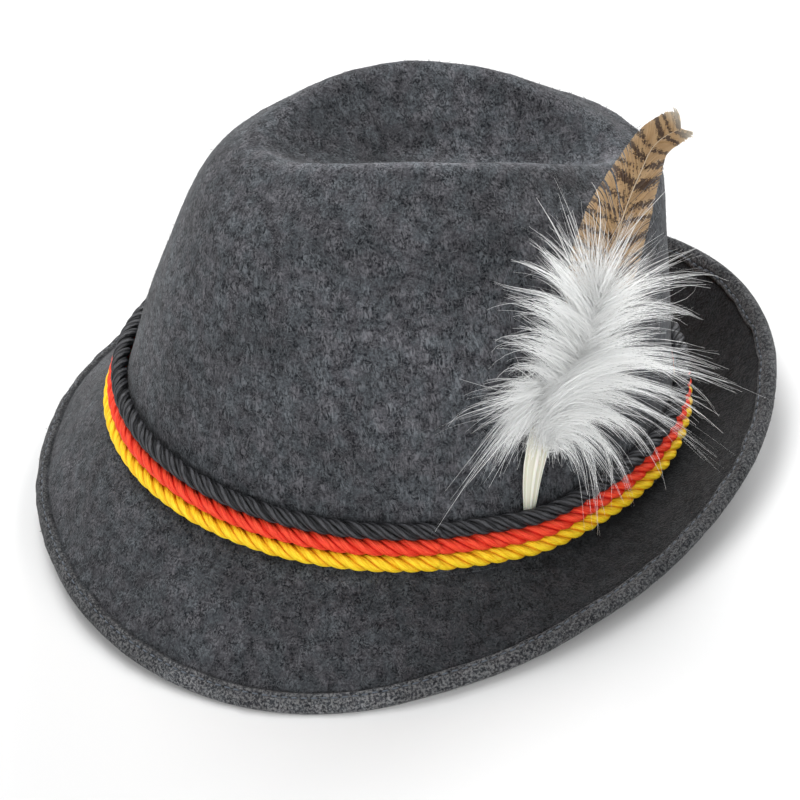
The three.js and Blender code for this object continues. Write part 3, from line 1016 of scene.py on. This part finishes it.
def cord_strand(line, strand):
    """One strand of a cord: its points, and their yarn and ply values and their share of painted
    groove shade.
    """
    middle, normal, down = line
    hop = np.linalg.norm(np.roll(middle, -1, 0) - middle, axis=1)
    run = np.concatenate([[0], np.cumsum(hop)[:-1]])
    lays = round(hop.sum() / CORD_LAY)
    phase = 2 * math.pi * (lays * run / hop.sum() + strand / STRANDS)
    out = normal * np.cos(phase)[:, None] + down * np.sin(phase)[:, None]
    reach = CORD_DIAMETER / 2 - STRAND_DEPTH
    centre = middle + out * reach
    way = unit(np.roll(centre, -1, 0) - np.roll(centre, 1, 0))
    flank = unit(np.cross(way, out))
    wobble = 1 + 0.03 * ripples(middle, 13, strand + YARN_PLIES)
    side = turns(STRAND_SIDES)
    depth = out[:, None] * (STRAND_DEPTH * np.cos(side))[None, :, None]
    across = flank[:, None] * (STRAND_WIDTH * np.sin(side))[None, :, None]
    points = (centre[:, None] + (depth + across) * wobble[:, None, None]).reshape(-1, 3)
    twist = side[None, :] + 2 * math.pi * YARN_TURNS * lays * run[:, None] / hop.sum()
    yarn = np.stack(np.broadcast_arrays(np.cos(twist), np.sin(twist), run[:, None] * 0.06), -1)
    yarn = yarn.reshape(-1, 3) + (0, 0, 9 * strand)
    # Where the strand lies near the cord's middle, in the groove between strands, it gets painted
    # shade
    radius = np.hypot(reach + STRAND_DEPTH * np.cos(side), STRAND_WIDTH * np.sin(side))
    groove = np.tile(ramp(radius, GROOVE_RADIUS + GROOVE_FADE, GROOVE_RADIUS), CORD_STEPS)
    return points, yarn, np.cos(YARN_PLIES * twist).ravel(), groove


def cord_pieces():
    angle = turns(CORD_STEPS)
    faces = []
    for strand in range(STRANDS):
        faces += grid_faces(CORD_STEPS, STRAND_SIDES, strand * CORD_STEPS * STRAND_SIDES, True)
    for cord, line in zip(named_rows(CORD_COLUMNS, CORD_ROWS), cord_lines(angle)):
        strands = [cord_strand(line, strand) for strand in range(STRANDS)]
        points, yarn, ply, groove = (np.concatenate(part) for part in zip(*strands))
        values = {"yarn": yarn, "ply": ply, "groove": groove}
        node = "cord_" + cord["colour"]
        mesh_piece(node + "_twist", posed(points), faces, cord_look(cord), node, values)


def feather_frame():
    """Where the feather leaves the cords: the base, out, up the crown and to the back."""
    angle = np.array([STEM_ANGLE])

    def gap(height):
        return felt_place(angle, 1 - height)[0][:, 2] - STEM_HEIGHT

    height = halved(gap, np.array([1 - FOOT_SHARE]), np.array([1 - WALL_SHARE]))
    base, out, _ = (rows[0] for rows in felt_place(angle, 1 - height))
    up = unit(np.array([0, 0, 1]) - out * out[2])
    return base, out, up, np.cross(up, out)


BASE, OUT, UP, BACK = feather_frame()
SPINE = np.array(
    [
        BASE
        + BACK * row["back"] * FEATHER_LENGTH
        + UP * row["up"] * FEATHER_LENGTH
        + OUT * (row["out"] * FEATHER_LENGTH + STEM_THICKNESS / 2 + CLEARANCE)
        for row in named_rows(SPINE_COLUMNS, SPINE_ROWS)
    ]
)


def spine_table():
    share = np.linspace(0, 1, 400)
    line = smooth_line(SPINE[:, None], share)
    run = np.concatenate([[0], np.cumsum(np.linalg.norm(np.diff(line, axis=0), axis=1))])
    return line, run / run[-1]


SPINE_LINE, SPINE_RUN = spine_table()


def spine_place(share):
    """Points on the spine at shares of its length, with the way on, out and sideways."""
    share = np.asarray(share, float)

    def point(at):
        return np.stack([np.interp(at, SPINE_RUN, SPINE_LINE[:, k]) for k in range(3)], -1)

    onward = unit(point(share + 0.01) - point(share - 0.01))
    out = unit(OUT - onward * (onward @ OUT)[..., None])
    return point(share), onward, out, np.cross(onward, out)


def stem_piece(material):
    """The pale quill, flat and pointed, with ridges along it."""
    rows = 60
    sides = 40
    at = column(STEM_COLUMNS, STEM_ROWS, "at")
    share = np.linspace(at[0], at[-1], rows)
    width = np.interp(share, at, column(STEM_COLUMNS, STEM_ROWS, "width")) * STEM_WIDTH / 2
    thick = np.interp(share, at, column(STEM_COLUMNS, STEM_ROWS, "thick")) * STEM_THICKNESS / 2
    lean = np.interp(share, at, column(STEM_COLUMNS, STEM_ROWS, "lean")) * STEM_WIDTH
    point, _, out, side = spine_place(share)
    point = point + side * lean[:, None]
    ridge = 0.5 + 0.5 * ripples(circle(turns(sides)), 0.35, 21)
    made = posed(tube(point, side, out, width, thick, sides, 1 + 0.1 * (ridge - 0.5)))
    faces = grid_faces(rows, sides)
    faces.append(list(range(sides))[::-1])
    faces.append(list(range((rows - 1) * sides, rows * sides)))
    values = {"line": np.tile(ridge, rows)}
    return mesh_piece("quill_form", made, faces, material, "feather_stem", values)


def ribbons(lines, sides, widths):
    """Flat ribbons along lines of points: (count, steps, 3), with a side and a half width each."""
    count, steps, _ = lines.shape
    edge = sides * widths[..., None]
    both = np.stack([lines - edge, lines + edge], 2)
    start = np.arange(count)[:, None] * steps * 2 + np.arange(steps - 1)[None, :] * 2
    quads = np.stack([start, start + 1, start + 3, start + 2], -1)
    return both.reshape(-1, 3), quads.reshape(-1, 4).tolist()


def tip_droop(share):
    """How far the feather's tip bends down over the end of its spine."""
    return TIP_DROOP * ramp(share, 0.88, 1) ** 2


def barb_side(rng, hand, gap):
    """The barbs on one side of the shaft: lines, flanks, half widths, dark bars, pale ends."""
    at = column(VANE_COLUMNS, VANE_ROWS, "at")
    wide = column(VANE_COLUMNS, VANE_ROWS, "width") * VANE_WIDTH
    lean = column(VANE_COLUMNS, VANE_ROWS, "lean") * VANE_WIDTH
    t = np.linspace(0, 1, BARB_STEPS)[None, :]
    # A quarter of the barbs leave close to the tip, where they fan out
    root = rng.uniform(at[0], at[-1] - 0.01, BARBS)
    root[: BARBS // 4] = rng.uniform(FAN_START, at[-1] - 0.01, BARBS // 4)
    root = np.sort(root)[:, None]
    clump = np.interp(root[:, 0], np.linspace(0, 1, 60), rng.normal(0, 1, 60))[:, None]
    sweep = (BARB_SWEEP + rng.normal(0, 0.003, (BARBS, 1))) * (1.2 - 0.5 * t)
    share = root + sweep * t * np.interp(root, [0.8, 1], [1, 0.2])
    half = np.interp(share, at, wide) / 2 + hand * np.interp(share, at, lean)
    loose = np.interp(root, [0.9, 1], [0, 0.15])
    reach = half * (rng.uniform(0.98, 1.01, (BARBS, 1)) + loose * rng.normal(0, 1, (BARBS, 1)))
    reach = reach * t**0.85
    point, onward, out, side = spine_place(np.minimum(share, 1))
    beyond = np.maximum(share - 1, 0) * FEATHER_LENGTH
    arch = BARB_LIFT - 0.012 * reach**2 + 0.05 * clump * t
    line = point + side * (hand * reach)[..., None] + out * arch[..., None]
    line = line + onward * beyond[..., None] - UP * tip_droop(share)[..., None]
    flank = unit(onward + 0.25 * out * rng.normal(0, 1, (BARBS, 1, 1)))
    width = np.broadcast_to(BARB_WIDTH * (1 - 0.5 * t), share.shape)
    along = share * FEATHER_LENGTH
    wander = 1.2 * ripples(point.reshape(-1, 3), 9, 31).reshape(along.shape)
    bars = 0.5 + 0.5 * np.sin(2 * math.pi * ((along + wander) / gap - 0.5 * t))
    pale = np.clip(0.6 * ramp(share, 0.97, 1.01) + 0.1 * t**6, 0, 1)
    return line, flank, width, bars, pale


def vane_piece(material):
    """Barbs on both sides of the pheasant feather's shaft, frayed at its tip."""
    rng = np.random.default_rng(SEED + 3)
    hands = [barb_side(rng, hand, gap) for hand, gap in BAR_GAPS]
    lines, flanks, widths, bars, pale = (np.concatenate(part) for part in zip(*hands))
    made, faces = ribbons(lines, flanks, widths)
    values = {"bars": np.repeat(bars.ravel(), 2), "pale": np.repeat(pale.ravel(), 2)}
    return mesh_piece("barred_vane", posed(made), faces, material, "pheasant_feather", values)


def shaft_piece(material):
    rows = 40
    sides = 8
    share = np.linspace(0.36, 0.985, rows)
    point, _, out, side = spine_place(share)
    centre = point - UP * tip_droop(share)[:, None] + out * BARB_LIFT
    radius = np.interp(share, [0.36, 0.9, 0.985], [0.4, 0.2, 0.1])
    made = posed(tube(centre, side, out, radius, radius, sides))
    values = {"bars": np.full(len(made), 0.2), "pale": np.full(len(made), 0.35)}
    faces = grid_faces(rows, sides)
    return mesh_piece("feather_shaft", made, faces, material, None, values)


def surface_tree():
    """The felt and cords of the frame, which the down lies on."""
    points = []
    faces = []
    for name in ("felt_body", "cord_gold", "cord_red", "cord_black"):
        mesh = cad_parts[name].data
        start = len(points)
        points += [tuple(v.co / MM) for v in mesh.vertices]
        faces += [tuple(start + k for k in p.vertices) for p in mesh.polygons]
    return BVHTree.FromPolygons(points, faces)


def settled(points, tree, gap):
    """Pushes points that lie in or too near the felt and cords out of them."""
    made = points.copy()
    for k, point in enumerate(points):
        spot, normal, _, _ = tree.find_nearest(Vector(point), DOWN_NEAR)
        if spot is None:
            continue
        depth = (Vector(point) - spot).dot(normal)
        if depth < gap:
            made[k] = np.array(spot + normal * gap)
    return made


def through_four(start, over, by, end, along):
    """The cubic curve that meets the four points at 0, a third, two thirds and 1 along it."""
    early = 3 * along - 1
    late = 3 * along - 2
    whole = along - 1
    inner = (over * late - by * early) * along * whole * 4.5
    return inner + (end * along - start * whole) * early * late / 2


def wisp_shapes():
    """How each wisp of each lock departs from its lock."""
    rng = np.random.default_rng(SEED)
    split = (len(LOCK_ROWS), WISPS)
    return {
        "aim": rng.normal(0, WISP_SPREAD, split + (2,)),
        "size": rng.uniform(*WISP_SIZES, split + (1,)),
        "sway": rng.normal(0, WISP_SWAY, split + (2,)),
        "phase": rng.uniform(0, 2 * math.pi, split + (1,)),
        "height": rng.uniform(*WISP_HEIGHTS, split + (1,)),
    }


def down_lines(rng, count, reach, fade, loose):
    """Lines of strands that follow the wisps, far apart at the root and close at the tip."""
    locks = np.array(LOCK_ROWS, float)
    full = locks[:, LOCK_COLUMNS.index("full")]
    lock = rng.choice(len(locks), count, p=full / full.sum())
    wisp = rng.integers(0, WISPS, count)
    start, over, by, end = (locks[lock, k : k + 2][:, None] for k in (0, 2, 4, 6))
    own = {name: value[lock, wisp][:, None] for name, value in wisp_shapes().items()}
    first = rng.uniform(*ROOT_SHARES, (count, 1, 1))
    thin = np.where(full[lock] < THIN_LOCK, THIN_FADE, 0)[:, None, None]
    last = own["size"] * (reach + (1 - reach) * rng.beta(1.2, fade + thin))
    along = first + (last - first) * np.linspace(0, 1, DOWN_STEPS)[None, :, None]
    flat = through_four(start, over, by, end, along) + own["aim"] * np.abs(along) ** 1.3
    flat = flat + own["sway"] * np.sin(4 * along + own["phase"]) * along
    apart = 0.06 + np.clip(1 - along / own["size"], 0, 1.2) ** 1.9
    flat = flat + rng.normal(0, loose, (count, 1, 2)) * apart
    stray = rng.normal(0, 1, (count, 1, 2)) * rng.gamma(0.35, 2.4, (count, 1, 1))
    flat = flat + stray * along**2
    low = rng.uniform(*ROOT_HEIGHTS, (count, 1, 1))
    high = own["height"] + rng.normal(0, 0.5, (count, 1, 1))
    arch = rng.uniform(*STRAND_ARCHES, (count, 1, 1))
    rise = low + (high - low) * along + 4 * arch * along * (1 - along)
    return BASE + flat[..., :1] * BACK + flat[..., 1:] * UP + rise * OUT


def down_piece(name, tree, material, seed, strands, node=None):
    """Thin tapered strands of down, pushed out of the felt and the cords."""
    rng = np.random.default_rng(seed)
    count = strands["count"]
    lines = down_lines(rng, count, strands["reach"], strands["fade"], strands["loose"])
    spots = settled(posed(lines.reshape(-1, 3)), tree, DOWN_GAP)
    spots[:, 2] = np.maximum(spots[:, 2], DOWN_LOWEST)
    lines = spots.reshape(lines.shape)
    way = unit(np.gradient(lines, axis=1))
    flank = unit(np.cross(way, turned(OUT) + rng.normal(0, 0.4, (count, 1, 3))))
    taper = 1 - 0.8 * np.linspace(0, 1, DOWN_STEPS) ** 1.5
    half = rng.uniform(*strands["wide"], (count, 1)) / 2 * taper
    made, faces = ribbons(lines, flank, half)
    shade = np.repeat(rng.random(count), DOWN_STEPS * 2)
    return mesh_piece(name, made, faces, material, node, {"shade": shade})


def make_camera():
    flat = Vector((math.sin(AZIMUTH), -math.cos(AZIMUTH), 0))
    back = flat * math.cos(ELEVATION) + Vector((0, 0, math.sin(ELEVATION)))
    level = Vector((math.cos(AZIMUTH), math.sin(AZIMUTH), 0))
    upright = back.cross(level)
    right = level * math.cos(ROLL) + upright * math.sin(ROLL)
    up = back.cross(right)
    data = bpy.data.cameras.new("camera")
    data.lens = LENS
    data.sensor_width = SENSOR
    camera = bpy.data.objects.new("camera", data)
    camera.matrix_world = Matrix.Translation(AIM + back * DISTANCE) @ Matrix(
        (right, up, back)
    ).transposed().to_4x4()
    bpy.context.scene.collection.objects.link(camera)
    bpy.context.scene.camera = camera


def area_light(name, place, power):
    data = bpy.data.lights.new(name, "AREA")
    data.shape = "DISK"
    data.size = LIGHT_SIZE
    data.energy = power
    light = bpy.data.objects.new(name, data)
    light.location = place
    light.rotation_euler = (LIGHT_AIM - Vector(place)).to_track_quat("-Z", "Y").to_euler()
    bpy.context.scene.collection.objects.link(light)


def make_sky():
    """A soft white surround, brightest low down, so that the floor ends in a pale background."""
    world = bpy.data.worlds.new("studio")
    world.use_nodes = True
    tree = world.node_tree
    place = tree.nodes.new("ShaderNodeTexCoord")
    split = tree.nodes.new("ShaderNodeSeparateXYZ")
    fade = tree.nodes.new("ShaderNodeMapRange")
    tree.links.new(place.outputs["Generated"], split.inputs[0])
    tree.links.new(split.outputs["Z"], fade.inputs["Value"])
    fade.inputs["From Max"].default_value = SKY_BAND
    fade.inputs["To Min"].default_value = SKY_LOW
    fade.inputs["To Max"].default_value = SKY_HIGH
    background = tree.nodes["Background"]
    background.inputs["Color"].default_value = SKY_COLOUR
    tree.links.new(fade.outputs["Result"], background.inputs["Strength"])
    bpy.context.scene.world = world


def make_floor():
    mesh = bpy.data.meshes.new("floor")
    rim = FLOOR_RADIUS * circle(turns(FLOOR_SIDES))
    mesh.from_pydata(rim.tolist(), [], [list(range(FLOOR_SIDES))])
    mesh.materials.append(floor_look())
    floor = bpy.data.objects.new("floor", mesh)
    bpy.context.scene.collection.objects.link(floor)


def make_studio():
    make_sky()
    for light in LIGHTS:
        area_light(*light)
    bpy.context.scene.view_settings.view_transform = "Standard"
    bpy.context.scene.view_settings.look = "None"
    make_floor()


make_camera()
make_studio()
felt = felt_piece(felt_look())
fuzz_piece(felt, fuzz_look())
stitches_piece(thread_look())
cord_pieces()
stem_piece(quill_look())
barbs = barb_look()
shaft_piece(barbs)
vane_piece(barbs)
tree = surface_tree()
down = down_look()
down_piece("down_strands", tree, down, SEED, DOWN_STRANDS, "down_plume")
down_piece("down_haze", tree, down, SEED + 7, DOWN_HAZE)
